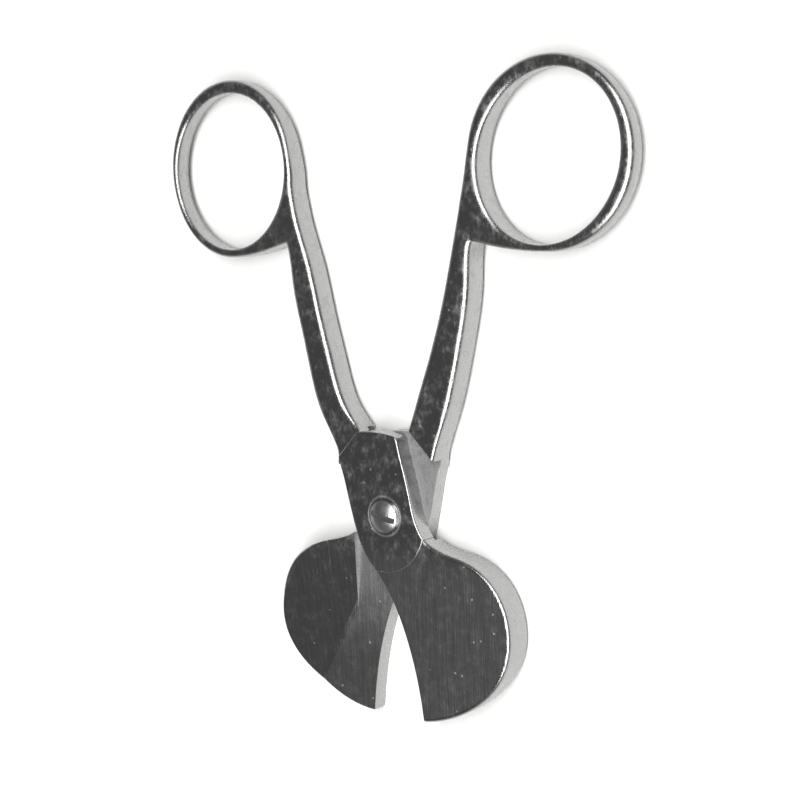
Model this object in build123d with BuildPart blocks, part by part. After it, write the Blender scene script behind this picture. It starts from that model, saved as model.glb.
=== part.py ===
# Wick trimmer: ring-handled steel scissors with two broad round-backed blades.
#
# Three real pieces: two halves forged to the same shape, one turned over on the
# other, and the slotted screw they pivot on. The tool lies flat on its back:
# +Z points out of the screw head, +Y runs from the pivot towards the finger
# rings, and the origin is on the pivot axis in the plane of the back face.
# All sizes are in millimetres. The halves are drawn part open, as in use.

import math
import os
from collections import namedtuple

from build123d import *

os.makedirs("parts", exist_ok=True)

# joint: two flat bosses lapped on each other
BOSS_T = 2.7                    # thickness of one boss
MID_Z = BOSS_T                  # plane where the two halves slide
LAP_GAP = 0.04                  # running gap between the lapped faces
LAP_Z = MID_Z + LAP_GAP / 2     # inner face of the front half
TOP_Z = 2 * BOSS_T              # outer face of the front boss
BOSS_EDGE_R = 0.3

# finger rings and shanks as (x, y), in the half's own drawn place: ring at -X
# an oval is centre x, centre y, half width, half height, tilt in degrees
Half = namedtuple("Half", "hole rim rim_start inner crotch outer belly")
FRONT = Half(
    hole=(-30.5, 54.6, 12.2, 12.7, 0),
    rim=(-30.6, 55.0, 13.4, 14.4, 0),
    rim_start=12,
    inner=[(-7.35, 16.5), (-10.05, 24.1), (-12.0, 31.8), (-13.75, 39.5), (-15.9, 46.4), (-16.85, 52.0)],
    crotch=(-18.5, 42.7),
    outer=[(-17.6, 35.9), (-16.05, 28.2), (-14.4, 20.5), (-13.25, 16.7)],
    belly=[
        (7.15, -3.1), (9.4, -4.55), (14.95, -6.0), (19.9, -9.2), (22.6, -15.2),
        (21.5, -22.4), (15.2, -28.9), (5.95, -32.2),
    ],
)
REAR = Half(
    hole=(-31.3, 54.0, 11.7, 12.85, 33),
    rim=(-31.5, 54.5, 14.0, 14.0, 0),
    rim_start=14,
    inner=[(-6.2, 17.5), (-9.15, 24.9), (-11.7, 32.2), (-13.7, 39.3), (-15.6, 46.7), (-16.8, 52.0)],
    crotch=(-17.9, 42.3),
    outer=[(-17.15, 35.5), (-15.75, 28.3), (-13.8, 21.0), (-12.6, 17.3)],
    belly=[
        (7.1, -2.95), (9.45, -4.25), (15.15, -5.65), (20.1, -9.0), (22.65, -15.2),
        (21.8, -22.7), (15.6, -29.4), (6.0, -32.5),
    ],
)
HOLE_EDGE_R = 0.3

# shank, a forged bar that runs tangent into the inner side of the ring
SHANK_T = 4.4
RING_T = 2.9
TAPER_START = 46.0              # thickness taper, measured from the pivot across the ring
TAPER_END = 66.0
HANDLE_END = 95.0               # past the far side of the ring
RIM_SWEEP = 270                 # angle where the ring's rim turns into the web
EDGE_LOW_Y = 11.0               # edges below this are cut away at the shoulder
SHANK_EDGE_R = 0.7

# lap shoulder: diagonal cut where full thickness drops to boss thickness
SHOULDER_DIR = 45.7             # degrees from +Y towards -X
BOSS_SHOULDER = 12.6            # distance of the raised boss edge from the pivot
BOSS_OVERLAP = 0.8              # how far the shank runs into the boss
LAP_SHOULDER = 13.0             # distance of the inner shoulder from the pivot
RAMP_RUN = 1.9                  # hollow ramp from the shank up to the boss edge
RAMP_RISE = 0.4

# blade
BLADE_DROP = 0.15               # blade face below the boss face
PAD_DEPTH = 2.6                 # how far the blade back passes the lap plane
RIM_X = 8.0                     # the rim wall's middle lies beyond this x
RIM_FRONT_R = 0.6
RIM_BACK_R = 0.7
SLOPE_START = (8.5, -16.0)      # where the inner slope and the relief meet the lap plane
SLOPE_TURN = -58.0              # the slope's upper edge, degrees from +X
SLOPE_RUN = 12.4                # distance over which it falls to the full rim depth
RELIEF_TOP = (7.2, 3.0)         # upper end of the relief that clears the other boss

BLOCK = 60.0                    # oversize cutting block
BELOW = -3.0                    # height well below the tool, for cutting tools
ABOVE = 7.0                     # height well above it

# pivot screw
SCREW_R = 1.7
SCREW_HOLE_R = 1.75
THREAD_R = 1.5
HEAD_R = 2.55
HEAD_H = 1.15
HEAD_GAP = 0.03
HEAD_WALL_H = 0.45              # upright wall below the head's dome
SLOT_W = 0.9
SLOT_DEPTH = 0.6
SLOT_TURN = -14.0


def oval_arc(oval, start, size):
    """Part of an oval, from a start angle through an arc size in degrees."""
    x, y, half_width, half_height, tilt = oval
    return EllipticalCenterArc((x, y), half_width, half_height, start, arc_size=size, rotation=tilt)


def handle_outline(half):
    """Shank and outer edge of the finger ring, in one closed outline."""
    with BuildSketch() as sk:
        with BuildLine():
            rim = oval_arc(half.rim, half.rim_start, RIM_SWEEP - half.rim_start)
            inner = Spline(
                (-3.6, 11.6), *half.inner, rim @ 0,
                tangents=((-0.5, 0.86), rim % 0),
            )
            web = Spline(rim @ 1, half.crotch, tangents=(rim % 1, (1, 0.25)))
            outer = Spline(
                web @ 1, *half.outer, (-9.0, 7.6),
                tangents=((0.3, -1), (0.25, -1)),
            )
            Line(outer @ 1, inner @ 0)
        make_face()
    return sk.sketch


def boss_outline():
    """Raised flat boss round the pivot, front half."""
    with BuildSketch() as sk:
        with BuildLine():
            top = Spline((-5.1, 13.0), (-1.4, 13.15), (2.2, 12.7), tangents=((1, 0.15), (1, -0.25)))
            corner = ThreePointArc(top @ 1, (2.75, 12.3), (3.0, 11.6))
            side = Spline(
                corner @ 1, (4.1, 7.2), (5.1, 2.7), (6.0, -0.8), (7.3, -3.1),
                tangents=((0.2, -1), (0.7, -0.75)),
            )
            bottom = ThreePointArc(side @ 1, (2.6, -8.3), (-2.3, -8.9))
            heel = Spline(
                bottom @ 1, (-5.0, -5.4), (-6.5, -1.2), (-7.3, 1.9), (-8.5, 6.7), (-9.1, 8.9),
                tangents=((-0.75, 0.65), (-0.2, 1)),
            )
            Line(heel @ 1, top @ 0)
        make_face()
    return sk.sketch


def blade_outline(half):
    """Half-moon blade, from the boss round its belly to the tip and back up the cutting edge."""
    with BuildSketch() as sk:
        with BuildLine():
            root = Line((-2.3, -8.9), (0.0, 0.0))
            neck = Line(root @ 1, (6.25, -1.3))
            belly = Spline(neck @ 1, *half.belly)
            Spline(
                belly @ 1, (5.1, -26.3), (3.3, -19.4), (0.5, -12.9), root @ 0,
            )
        make_face()
    return sk.sketch


def inner_slope():
    """Cutter above the inner face: level by the edge, then sloping to the thick rim."""
    turn = math.radians(SLOPE_TURN)
    slope_plane = Plane(
        origin=SLOPE_START,
        x_dir=(-math.sin(turn), math.cos(turn), 0),
        z_dir=(math.cos(turn), math.sin(turn), 0),
    )
    with BuildPart() as cutter:
        with BuildSketch(slope_plane):
            with BuildLine():
                Polyline(
                    (-BLOCK, LAP_Z), (0, LAP_Z), (2 * SLOPE_RUN, LAP_Z - 2 * PAD_DEPTH),
                    (2 * SLOPE_RUN, BELOW), (-BLOCK, BELOW), close=True,
                )
            make_face()
        extrude(amount=BLOCK, both=True)
    return cutter.part


def boss_relief():
    """Cutter that keeps the thick rim clear of the other half's boss."""
    with BuildPart() as cutter:
        with BuildSketch(Plane.XY.offset(BELOW)):
            with BuildLine():
                Polyline(
                    RELIEF_TOP, SLOPE_START, (-BLOCK, SLOPE_START[1]), (-BLOCK, RELIEF_TOP[1]), close=True,
                )
            make_face()
        extrude(amount=LAP_Z - BELOW)
    return cutter.part


def pivot_side(distance, low, high):
    """Block on the pivot side of a diagonal shoulder line, between two heights."""
    with BuildPart() as block:
        with BuildSketch(Plane.XY.offset(low)):
            with Locations(Rotation(0, 0, SHOULDER_DIR)):
                with Locations((0, distance - BLOCK / 2)):
                    Rectangle(BLOCK, BLOCK)
        extrude(amount=high - low)
    return block.part


def finger_hole(oval):
    """Oval bar that cuts the finger hole."""
    x, y, half_width, half_height, tilt = oval
    with BuildPart() as bar:
        with BuildSketch(Plane.XY.offset(MID_Z)):
            with Locations((x, y)):
                Ellipse(half_width, half_height, rotation=tilt)
        extrude(amount=SHANK_T, both=True)
    return bar.part


def on_oval(edge, oval):
    """True for an edge that runs along the wall of the finger hole."""
    x, y, half_width, half_height, tilt = oval
    middle = Vector((edge @ 0.5).X - x, (edge @ 0.5).Y - y).rotate(Axis.Z, -tilt)
    return math.hypot(middle.X / half_width, middle.Y / half_height) < 1.02


def wall_edges(solid):
    """Long edges between the upright walls and the two flat sides."""
    walls = solid.faces().filter_by(lambda f: abs(f.normal_at().Z) < 0.3)
    return walls.edges().filter_by(lambda e: abs(e.tangent_at(0.5).Z) < 0.5)


def side_profile():
    """Side view of the handle: ramp at the boss, even shank, thinner ring."""
    turn = math.radians(SHOULDER_DIR)
    side_plane = Plane(
        origin=(0, 0, MID_Z),
        x_dir=(-math.sin(turn), math.cos(turn), 0),
        z_dir=(math.cos(turn), math.sin(turn), 0),
    )
    half_t = SHANK_T / 2
    with BuildSketch(side_plane) as sk:
        with BuildLine():
            ramp = TangentArc(
                (BOSS_SHOULDER + RAMP_RUN, half_t), (BOSS_SHOULDER, half_t + RAMP_RISE), tangent=(-1, 0),
            )
            Polyline(
                ramp @ 0, (TAPER_START, half_t), (TAPER_END, RING_T / 2), (HANDLE_END, RING_T / 2),
                (HANDLE_END, -RING_T / 2), (TAPER_END, -RING_T / 2), (TAPER_START, -half_t),
                (0, -half_t), (0, half_t + RAMP_RISE), ramp @ 1,
            )
        make_face()
    return sk.sketch


def forge_handle(half):
    """Ring, web and shank: one bar, thinner round the ring, all edges rounded."""
    with BuildPart() as handle:
        with BuildSketch(Plane.XY.offset(MID_Z - SHANK_T)):
            add(handle_outline(half))
        extrude(amount=2 * SHANK_T)
        extrude(side_profile(), amount=HANDLE_END, both=True, mode=Mode.INTERSECT)
        add(finger_hole(half.hole), mode=Mode.SUBTRACT)
        outside = wall_edges(handle).filter_by(lambda e: not on_oval(e, half.hole))
        fillet(outside.filter_by(lambda e: e.center().Y > EDGE_LOW_Y), SHANK_EDGE_R)
        fillet(wall_edges(handle).filter_by(lambda e: on_oval(e, half.hole)), HOLE_EDGE_R)
        # the bar stops at the diagonal: below it only the boss is left
        add(pivot_side(BOSS_SHOULDER - BOSS_OVERLAP, BELOW, ABOVE), mode=Mode.SUBTRACT)
        add(pivot_side(LAP_SHOULDER, BELOW, LAP_Z), mode=Mode.SUBTRACT)
    return handle.part


def forge_blade(half):
    """Half-moon blade: flat outside, ground sloping inside so its rim stays thick."""
    with BuildPart() as blade:
        with BuildSketch(Plane.XY.offset(LAP_Z - PAD_DEPTH)):
            add(blade_outline(half))
        extrude(amount=TOP_Z - BLADE_DROP - LAP_Z + PAD_DEPTH)
        rim = blade.faces().filter_by(lambda f: abs(f.normal_at().Z) < 0.5 and f.center().X > RIM_X)
        fillet(rim.edges().group_by(Axis.Z)[-1], RIM_FRONT_R)
        rim = blade.faces().filter_by(lambda f: abs(f.normal_at().Z) < 0.5 and f.center().X > RIM_X)
        fillet(rim.edges().group_by(Axis.Z)[0], RIM_BACK_R)
        add(inner_slope(), mode=Mode.SUBTRACT)
        add(boss_relief(), mode=Mode.SUBTRACT)
    return blade.part


def forge_half(half):
    """One forged and ground half, before its pivot hole is drilled."""
    with BuildPart() as forged:
        with BuildSketch(Plane.XY.offset(LAP_Z)):
            add(boss_outline())
        extrude(amount=TOP_Z - LAP_Z)
        top_face = forged.faces().sort_by(Axis.Z)[-1]
        fillet(top_face.edges(), BOSS_EDGE_R)
        add(forge_handle(half))
        add(forge_blade(half))
    return forged.part


with BuildPart() as front_half:
    add(forge_half(FRONT))
    with Locations((0, 0, TOP_Z)):
        Hole(SCREW_HOLE_R, depth=2 * TOP_Z)

with BuildPart() as rear_half:
    with Locations(Location((0, 0, 2 * MID_Z), (0, 180, 0))):
        add(forge_half(REAR))
    with Locations((0, 0, TOP_Z)):
        Hole(THREAD_R, depth=2 * TOP_Z)

with BuildPart() as pivot_screw:
    Cylinder(THREAD_R, MID_Z - LAP_GAP / 2, align=(Align.CENTER, Align.CENTER, Align.MIN))
    with Locations((0, 0, MID_Z - LAP_GAP / 2)):
        Cylinder(SCREW_R, MID_Z + LAP_GAP / 2 + HEAD_GAP, align=(Align.CENTER, Align.CENTER, Align.MIN))
    with BuildSketch(Plane.XZ):
        with BuildLine():
            seat = Line((0, TOP_Z + HEAD_GAP), (HEAD_R, TOP_Z + HEAD_GAP))
            wall = Line(seat @ 1, (HEAD_R, TOP_Z + HEAD_GAP + HEAD_WALL_H))
            dome = TangentArc((0, TOP_Z + HEAD_GAP + HEAD_H), wall @ 1, tangent=(1, 0))
            Line(dome @ 0, seat @ 0)
        make_face()
    revolve(axis=Axis.Z)
    with BuildSketch(Plane.XY.offset(TOP_Z + HEAD_GAP + HEAD_H)):
        with Locations(Rotation(0, 0, SLOT_TURN)):
            Rectangle(3 * HEAD_R, SLOT_W)
    extrude(amount=-SLOT_DEPTH, mode=Mode.SUBTRACT)

front_half.part.label = "front_half"
export_step(front_half.part, "parts/front_half.step")

rear_half.part.label = "rear_half"
export_step(rear_half.part, "parts/rear_half.step")

pivot_screw.part.label = "pivot_screw"
export_step(pivot_screw.part, "parts/pivot_screw.step")
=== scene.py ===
from math import cos, radians, sin

import bmesh
import bpy
from mathutils import Matrix, Vector

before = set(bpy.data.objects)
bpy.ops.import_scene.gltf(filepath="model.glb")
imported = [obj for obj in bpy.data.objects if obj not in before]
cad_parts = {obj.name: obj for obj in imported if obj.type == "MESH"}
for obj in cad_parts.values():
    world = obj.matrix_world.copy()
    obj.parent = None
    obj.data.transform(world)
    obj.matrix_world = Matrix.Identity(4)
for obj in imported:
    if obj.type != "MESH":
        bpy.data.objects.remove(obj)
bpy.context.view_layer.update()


# ---------------------------------------------------------------- camera
# A long lens above the tool and to the right of it. The tool lies on its back with
# its rings away from the camera, so the camera stands where a person at the bench looks.
VIEW_TURN = radians(38.4)       # from straight above towards +X
VIEW_LIFT = radians(6.37)       # towards the rings
VIEW_ROLL = radians(-2.435)
VIEW_DISTANCE = 0.2699
VIEW_TARGET = Vector((0.00184, 0.018, 0.0027))

back = Vector((sin(VIEW_TURN) * cos(VIEW_LIFT), sin(VIEW_LIFT), cos(VIEW_TURN) * cos(VIEW_LIFT)))
right = (-back).cross(Vector((0, 1, 0))).normalized()
up = right.cross(-back)
camera = bpy.data.objects.new("camera", bpy.data.cameras.new("camera"))
camera.data.sensor_width = 36
camera.data.lens = 78.3
camera.data.clip_start = 0.01
camera.matrix_world = (
    Matrix.Translation(VIEW_TARGET + back * VIEW_DISTANCE)
    @ Matrix((right, up, back)).transposed().to_4x4()
    @ Matrix.Rotation(VIEW_ROLL, 4, "Z")
)
bpy.context.scene.collection.objects.link(camera)
bpy.context.scene.camera = camera


# ---------------------------------------------------------------- studio
# White paper sweep under the tool, one large softbox overhead and a dim room:
# flat faces mirror the dim room, edges and walls mirror the softbox and the paper.
FLOOR_SIZE = 6.0
SOFTBOX_TURN = radians(19)
SOFTBOX_DISTANCE = 0.8
SOFTBOX_WIDE = 0.4
SOFTBOX_LONG = 1.3
SOFTBOX_POWER = 11.0
ROOM_DARK = "5A5A5A"
ROOM_PALE = "C4C4C4"
PAPER = "F4F4F2"


def colour(hex_code, alpha=1.0):
    """An sRGB hex value as the linear colour that Blender's sockets hold."""
    parts = [int(hex_code[i:i + 2], 16) / 255 for i in (0, 2, 4)]
    return [c / 12.92 if c <= 0.04045 else ((c + 0.055) / 1.055) ** 2.4 for c in parts] + [alpha]


def add_node(tree, kind, settings=None, inputs=None):
    """Adds one node, sets its properties, and fills or links its inputs by name or number."""
    node = tree.nodes.new("ShaderNode" + kind)
    for key, value in (settings or {}).items():
        setattr(node, key, value)
    for key, value in (inputs or {}).items():
        if isinstance(value, bpy.types.NodeSocket):
            tree.links.new(value, node.inputs[key])
        else:
            node.inputs[key].default_value = value
    return node


def new_material(name):
    """An empty node material and its tree."""
    material = bpy.data.materials.new(name)
    material.use_nodes = True
    material.node_tree.nodes.clear()
    return material, material.node_tree


paper_material, tree = new_material("matt_white_paper")
place = add_node(tree, "TexCoord").outputs["Object"]
grain = add_node(tree, "TexNoise", inputs={"Vector": place, "Scale": 900.0, "Detail": 2.0})
tone = add_node(tree, "MixRGB", inputs={0: grain.outputs[0], 1: colour(PAPER), 2: colour("FAFAF9")})
tooth = add_node(tree, "Bump", inputs={"Height": grain.outputs[0], "Strength": 0.1, "Distance": 0.0001})
paper = add_node(
    tree, "BsdfPrincipled",
    inputs={"Base Color": tone.outputs[0], "Roughness": 0.9, "Normal": tooth.outputs[0]},
)
add_node(tree, "OutputMaterial", inputs={"Surface": paper.outputs[0]})

floor_mesh = bpy.data.meshes.new("floor")
shape = bmesh.new()
bmesh.ops.create_grid(shape, x_segments=1, y_segments=1, size=FLOOR_SIZE)
shape.to_mesh(floor_mesh)
shape.free()
floor_mesh.materials.append(paper_material)
floor = bpy.data.objects.new("floor", floor_mesh)
bpy.context.scene.collection.objects.link(floor)

softbox_data = bpy.data.lights.new("softbox", "AREA")
softbox_data.shape = "RECTANGLE"
softbox_data.size = SOFTBOX_WIDE
softbox_data.size_y = SOFTBOX_LONG
softbox_data.energy = SOFTBOX_POWER
softbox = bpy.data.objects.new("softbox", softbox_data)
softbox.matrix_world = (
    Matrix.Rotation(SOFTBOX_TURN, 4, "Y") @ Matrix.Translation((0, 0, SOFTBOX_DISTANCE))
)
bpy.context.scene.collection.objects.link(softbox)

room = bpy.data.worlds.new("dim_room")
room.use_nodes = True
room.node_tree.nodes.clear()
tree = room.node_tree
direction = add_node(tree, "TexCoord").outputs["Generated"]
height = add_node(tree, "SeparateXYZ", inputs={0: direction}).outputs["Z"]
fade = add_node(
    tree, "MapRange", {"interpolation_type": "SMOOTHSTEP"},
    {"Value": height, "From Min": 0.1, "From Max": 0.3},
)
walls = add_node(tree, "MixRGB", inputs={0: fade.outputs[0], 1: colour(ROOM_PALE), 2: colour(ROOM_DARK)})
glow = add_node(tree, "Background", inputs={"Color": walls.outputs[0]})
add_node(tree, "OutputWorld", inputs={"Surface": glow.outputs[0]})
bpy.context.scene.world = room
bpy.context.scene.view_settings.view_transform = "Standard"


# ---------------------------------------------------------------- forged halves
# Two forged stainless steel halves, ground on the flats and polished by hand:
# near-mirror walls and rounded edges, duller flats with pits, fine scratches and wear.
STEEL = "C2C2C2"
STEEL_DULL = "8A8A8A"
LAP_PLANE = 2.7                 # mm above the back face
BLADE_Y = (-2.0, -9.0)          # mm, where the blade's grinding starts and is complete
LAP_FADE_Y = (-26.0, -7.0)      # the lap face is dullest next to the boss
SHOULDER_Y = (-3.0, 2.0)        # above this the lap face is bare and scoured
SHANK_Y = (13.5, 17.0)
SCREW_RUB_R = 3.15              # mm from the pivot to the ring rubbed by the screw head
POLISH_R = 0.0016               # metres of extra rounding that polishing gives the shanks
WAVE_SIZE = 5.0                 # mm, slow waves of hand polishing
CLOUD_SIZE = 2.0                # cloudy duller patches
HAZE_SIZE = (0.625, 1.25, 0.625)    # haze of fine scratches, longer along the tool
SPECK_SIZE = 0.2                # specks and stains, coarser than real so that they show
LINE_GAP = 0.2                  # grinding lines, coarser than a fine wheel's so that they show
PIT_GAP = 1.25                  # forging pits, up to half a millimetre wide


def forged_steel(name, offset, line_turn):
    """Polished forged steel. offset (mm) moves its patterns, line_turn (degrees) the grinding lines."""
    material, tree = new_material(name)
    place = add_node(tree, "TexCoord").outputs["Object"]
    real = add_node(tree, "Mapping", inputs={"Vector": place, "Scale": (1000, 1000, 1000)}).outputs[0]
    mm = add_node(tree, "Mapping", inputs={"Vector": real, "Location": offset}).outputs[0]
    parts = add_node(tree, "SeparateXYZ", inputs={0: real})
    normal = add_node(tree, "NewGeometry").outputs["Normal"]
    facing = add_node(tree, "SeparateXYZ", inputs={0: normal}).outputs["Z"]
    # masks: the blades, the ground faces at the lap plane, which show the wheel's marks,
    # the sloping inside of a blade, which is the best polished, and the bare shoulder
    blade = add_node(
        tree, "MapRange", {"interpolation_type": "SMOOTHSTEP"},
        {"Value": parts.outputs["Y"], "From Min": BLADE_Y[0], "From Max": BLADE_Y[1]},
    ).outputs[0]
    above = add_node(
        tree, "Math", {"operation": "SUBTRACT"}, {0: parts.outputs["Z"], 1: LAP_PLANE},
    ).outputs[0]
    off_lap = add_node(tree, "Math", {"operation": "ABSOLUTE"}, {0: above}).outputs[0]
    near_lap = add_node(tree, "Math", {"operation": "LESS_THAN"}, {0: off_lap, 1: 0.12}).outputs[0]
    flat = add_node(tree, "Math", {"operation": "GREATER_THAN"}, {0: facing, 1: 0.9}).outputs[0]
    by_boss = add_node(
        tree, "MapRange", {"interpolation_type": "SMOOTHSTEP"},
        {"Value": parts.outputs["Y"], "From Min": LAP_FADE_Y[0], "From Max": LAP_FADE_Y[1]},
    ).outputs[0]
    lap_flat = add_node(tree, "Math", {"operation": "MULTIPLY"}, {0: near_lap, 1: flat}).outputs[0]
    lap = add_node(tree, "Math", {"operation": "MULTIPLY"}, {0: lap_flat, 1: by_boss}).outputs[0]
    leaning = add_node(tree, "Math", {"operation": "LESS_THAN"}, {0: facing, 1: 0.99}).outputs[0]
    tilted = add_node(tree, "Math", {"operation": "MULTIPLY"}, {0: leaning, 1: flat}).outputs[0]
    slope = add_node(tree, "Math", {"operation": "MULTIPLY"}, {0: tilted, 1: blade}).outputs[0]
    # shanks and rings, whose edges the polisher has rounded far over
    shank = add_node(
        tree, "MapRange", {"interpolation_type": "SMOOTHSTEP"},
        {"Value": parts.outputs["Y"], "From Min": SHANK_Y[0], "From Max": SHANK_Y[1]},
    ).outputs[0]
    round_edge = add_node(tree, "Bevel", {"samples": 16}, {"Radius": POLISH_R}).outputs[0]
    soft = add_node(tree, "MixRGB", inputs={0: shank, 1: normal, 2: round_edge}).outputs[0]
    shoulder = add_node(
        tree, "MapRange", {"interpolation_type": "SMOOTHSTEP"},
        {"Value": parts.outputs["Y"], "From Min": SHOULDER_Y[0], "From Max": SHOULDER_Y[1]},
    ).outputs[0]
    bare = add_node(tree, "Math", {"operation": "MULTIPLY"}, {0: lap_flat, 1: shoulder}).outputs[0]
    # ring rubbed into the boss by the screw head
    level = add_node(tree, "Mapping", inputs={"Vector": real, "Scale": (1, 1, 0)}).outputs[0]
    from_pivot = add_node(tree, "VectorMath", {"operation": "LENGTH"}, {0: level}).outputs["Value"]
    from_ring = add_node(tree, "Math", {"operation": "SUBTRACT"}, {0: from_pivot, 1: SCREW_RUB_R}).outputs[0]
    off_ring = add_node(tree, "Math", {"operation": "ABSOLUTE"}, {0: from_ring}).outputs[0]
    rub = add_node(
        tree, "MapRange", {"interpolation_type": "SMOOTHSTEP"},
        {"Value": off_ring, "From Min": 0.35, "From Max": 0.0},
    ).outputs[0]
    # waves, clouds and specks
    wave = add_node(tree, "TexNoise", inputs={"Vector": mm, "Scale": 1 / WAVE_SIZE, "Detail": 1.0}).outputs[0]
    clouds = add_node(
        tree, "TexNoise",
        inputs={"Vector": mm, "Scale": 1 / CLOUD_SIZE, "Detail": 5.0, "Roughness": 0.62},
    )
    speck = add_node(
        tree, "TexNoise",
        inputs={"Vector": mm, "Scale": 1 / SPECK_SIZE, "Detail": 3.0, "Roughness": 0.7},
    ).outputs[0]
    # haze, patchy and fainter on the blades
    haze_scale = [1 / size for size in HAZE_SIZE]
    stretched = add_node(tree, "Mapping", inputs={"Vector": mm, "Scale": haze_scale}).outputs[0]
    fine = add_node(
        tree, "TexNoise", inputs={"Vector": stretched, "Scale": 1.0, "Detail": 6.0, "Roughness": 0.75},
    ).outputs[0]
    worn = add_node(tree, "Math", {"operation": "MULTIPLY"}, {0: fine, 1: clouds.outputs[0]}).outputs[0]
    on_blade = add_node(
        tree, "MapRange", inputs={"Value": blade, "To Min": 1.0, "To Max": 0.3},
    ).outputs[0]
    patch = add_node(tree, "MapRange", inputs={"Value": worn, "From Min": 0.22, "From Max": 0.46}).outputs[0]
    haze = add_node(tree, "Math", {"operation": "MULTIPLY"}, {0: patch, 1: on_blade}).outputs[0]
    # grinding lines, along the blade
    turned = add_node(
        tree, "Mapping", {"vector_type": "POINT"},
        {"Vector": mm, "Rotation": (0, 0, radians(line_turn)), "Scale": (1 / LINE_GAP, 0.12, 1.0)},
    ).outputs[0]
    lines = add_node(tree, "TexNoise", inputs={"Vector": turned, "Scale": 1.0, "Detail": 3.0}).outputs[0]
    # forging pits, of uneven outline, in a few of the cells
    bend = add_node(
        tree, "MixRGB", {"blend_type": "LINEAR_LIGHT"}, {0: 0.35, 1: mm, 2: clouds.outputs[1]},
    ).outputs[0]
    cells = add_node(tree, "TexVoronoi", inputs={"Vector": bend, "Scale": 1 / PIT_GAP, "Randomness": 1.0})
    pit = add_node(
        tree, "MapRange", {"interpolation_type": "SMOOTHSTEP"},
        {"Value": cells.outputs["Distance"], "From Min": 0.2, "From Max": 0.08},
    ).outputs[0]
    pick = add_node(tree, "SeparateColor", inputs={0: cells.outputs["Color"]}).outputs[0]
    few = add_node(tree, "Math", {"operation": "GREATER_THAN"}, {0: pick, 1: 0.86}).outputs[0]
    pits = add_node(tree, "Math", {"operation": "MULTIPLY"}, {0: pit, 1: few}).outputs[0]
    # roughness: clean polish, a little duller in clouds, lines and pits, dull on the lap faces
    polish = add_node(tree, "MapRange", inputs={"Value": haze, "To Min": 0.2, "To Max": 0.6}).outputs[0]
    line_dull = add_node(tree, "Math", {"operation": "MULTIPLY"}, {0: lines, 1: blade}).outputs[0]
    lined = add_node(
        tree, "Math", {"operation": "MULTIPLY_ADD"}, {0: line_dull, 1: 0.2, 2: polish},
    ).outputs[0]
    lapped = add_node(tree, "Math", {"operation": "MULTIPLY_ADD"}, {0: lap, 1: 0.2, 2: lined}).outputs[0]
    smooth = add_node(tree, "Math", {"operation": "MULTIPLY_ADD"}, {0: slope, 1: -0.13, 2: lapped}).outputs[0]
    scoured = add_node(tree, "Math", {"operation": "MULTIPLY_ADD"}, {0: bare, 1: 0.36, 2: smooth}).outputs[0]
    rubbed = add_node(tree, "Math", {"operation": "MULTIPLY_ADD"}, {0: rub, 1: 0.25, 2: scoured}).outputs[0]
    rough = add_node(tree, "Math", {"operation": "MULTIPLY_ADD"}, {0: pits, 1: 0.35, 2: rubbed}).outputs[0]
    # colour: clean steel, duller in specks, stains and scratches
    stain = add_node(tree, "Math", {"operation": "MULTIPLY_ADD"}, {0: speck, 1: 1.2, 2: -0.25}).outputs[0]
    mottle = add_node(tree, "Math", {"operation": "MULTIPLY_ADD"}, {0: fine, 1: 0.4, 2: stain}).outputs[0]
    spread = add_node(
        tree, "Math", {"operation": "MULTIPLY", "use_clamp": True}, {0: mottle, 1: 0.8},
    ).outputs[0]
    tone = add_node(tree, "MixRGB", inputs={0: spread, 1: colour(STEEL), 2: colour(STEEL_DULL)}).outputs[0]
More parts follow.
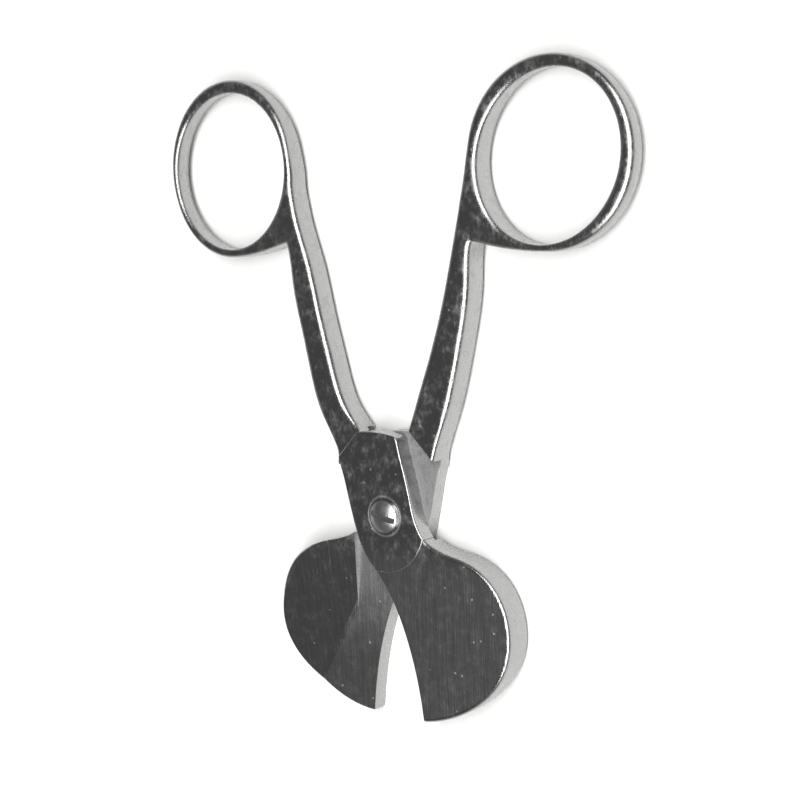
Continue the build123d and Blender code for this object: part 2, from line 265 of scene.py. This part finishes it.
    # relief, gentlest first
    slow = add_node(
        tree, "Bump", inputs={"Height": wave, "Strength": 0.3, "Distance": 0.0003, "Normal": soft},
    )
    ground = add_node(
        tree, "Bump",
        inputs={"Height": line_dull, "Strength": 0.6, "Distance": 0.00005, "Normal": slow.outputs[0]},
    )
    scratched = add_node(
        tree, "Bump",
        inputs={"Height": fine, "Strength": 0.2, "Distance": 0.00004, "Normal": ground.outputs[0]},
    )
    dished = add_node(
        tree, "Bump", {"invert": True},
        {"Height": rub, "Strength": 0.8, "Distance": 0.00008, "Normal": scratched.outputs[0]},
    )
    pitted = add_node(
        tree, "Bump", {"invert": True},
        {"Height": pits, "Strength": 0.35, "Distance": 0.00006, "Normal": dished.outputs[0]},
    )
    steel = add_node(
        tree, "BsdfPrincipled",
        inputs={"Base Color": tone, "Metallic": 1.0, "Roughness": rough, "Normal": pitted.outputs[0]},
    )
    add_node(tree, "OutputMaterial", inputs={"Surface": steel.outputs[0]})
    return material


for node, offset, line_turn in (("front_half", (0, 0, 0), 8), ("rear_half", (40, 25, 10), 12)):
    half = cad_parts[node]
    half.data.materials.clear()
    half.data.materials.append(forged_steel("polished_forged_" + node, offset, line_turn))


# ---------------------------------------------------------------- pivot screw
# A slotted, domed-head screw turned from bar, threaded into the rear half with its end
# finished flush. Its bright head shows faint turning rings and the driver's scratches.
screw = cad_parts["pivot_screw"]
screw_material, tree = new_material("turned_bright_steel")
place = add_node(tree, "TexCoord").outputs["Object"]
rings = add_node(
    tree, "TexWave", {"wave_type": "RINGS", "rings_direction": "Z"},
    {"Vector": place, "Scale": 1400.0, "Distortion": 0.6, "Detail": 2.0},
).outputs["Fac"]
marks = add_node(tree, "TexNoise", inputs={"Vector": place, "Scale": 1500.0, "Detail": 4.0}).outputs[0]
rough = add_node(tree, "MapRange", inputs={"Value": marks, "To Min": 0.16, "To Max": 0.5}).outputs[0]
tone = add_node(tree, "MixRGB", inputs={0: marks, 1: colour("D8D8D8"), 2: colour("9E9E9E")}).outputs[0]
turning = add_node(tree, "Bump", inputs={"Height": rings, "Strength": 0.25, "Distance": 0.00002})
steel = add_node(
    tree, "BsdfPrincipled",
    inputs={"Base Color": tone, "Metallic": 1.0, "Roughness": rough, "Normal": turning.outputs[0]},
)
add_node(tree, "OutputMaterial", inputs={"Surface": steel.outputs[0]})
screw.data.materials.clear()
screw.data.materials.append(screw_material)
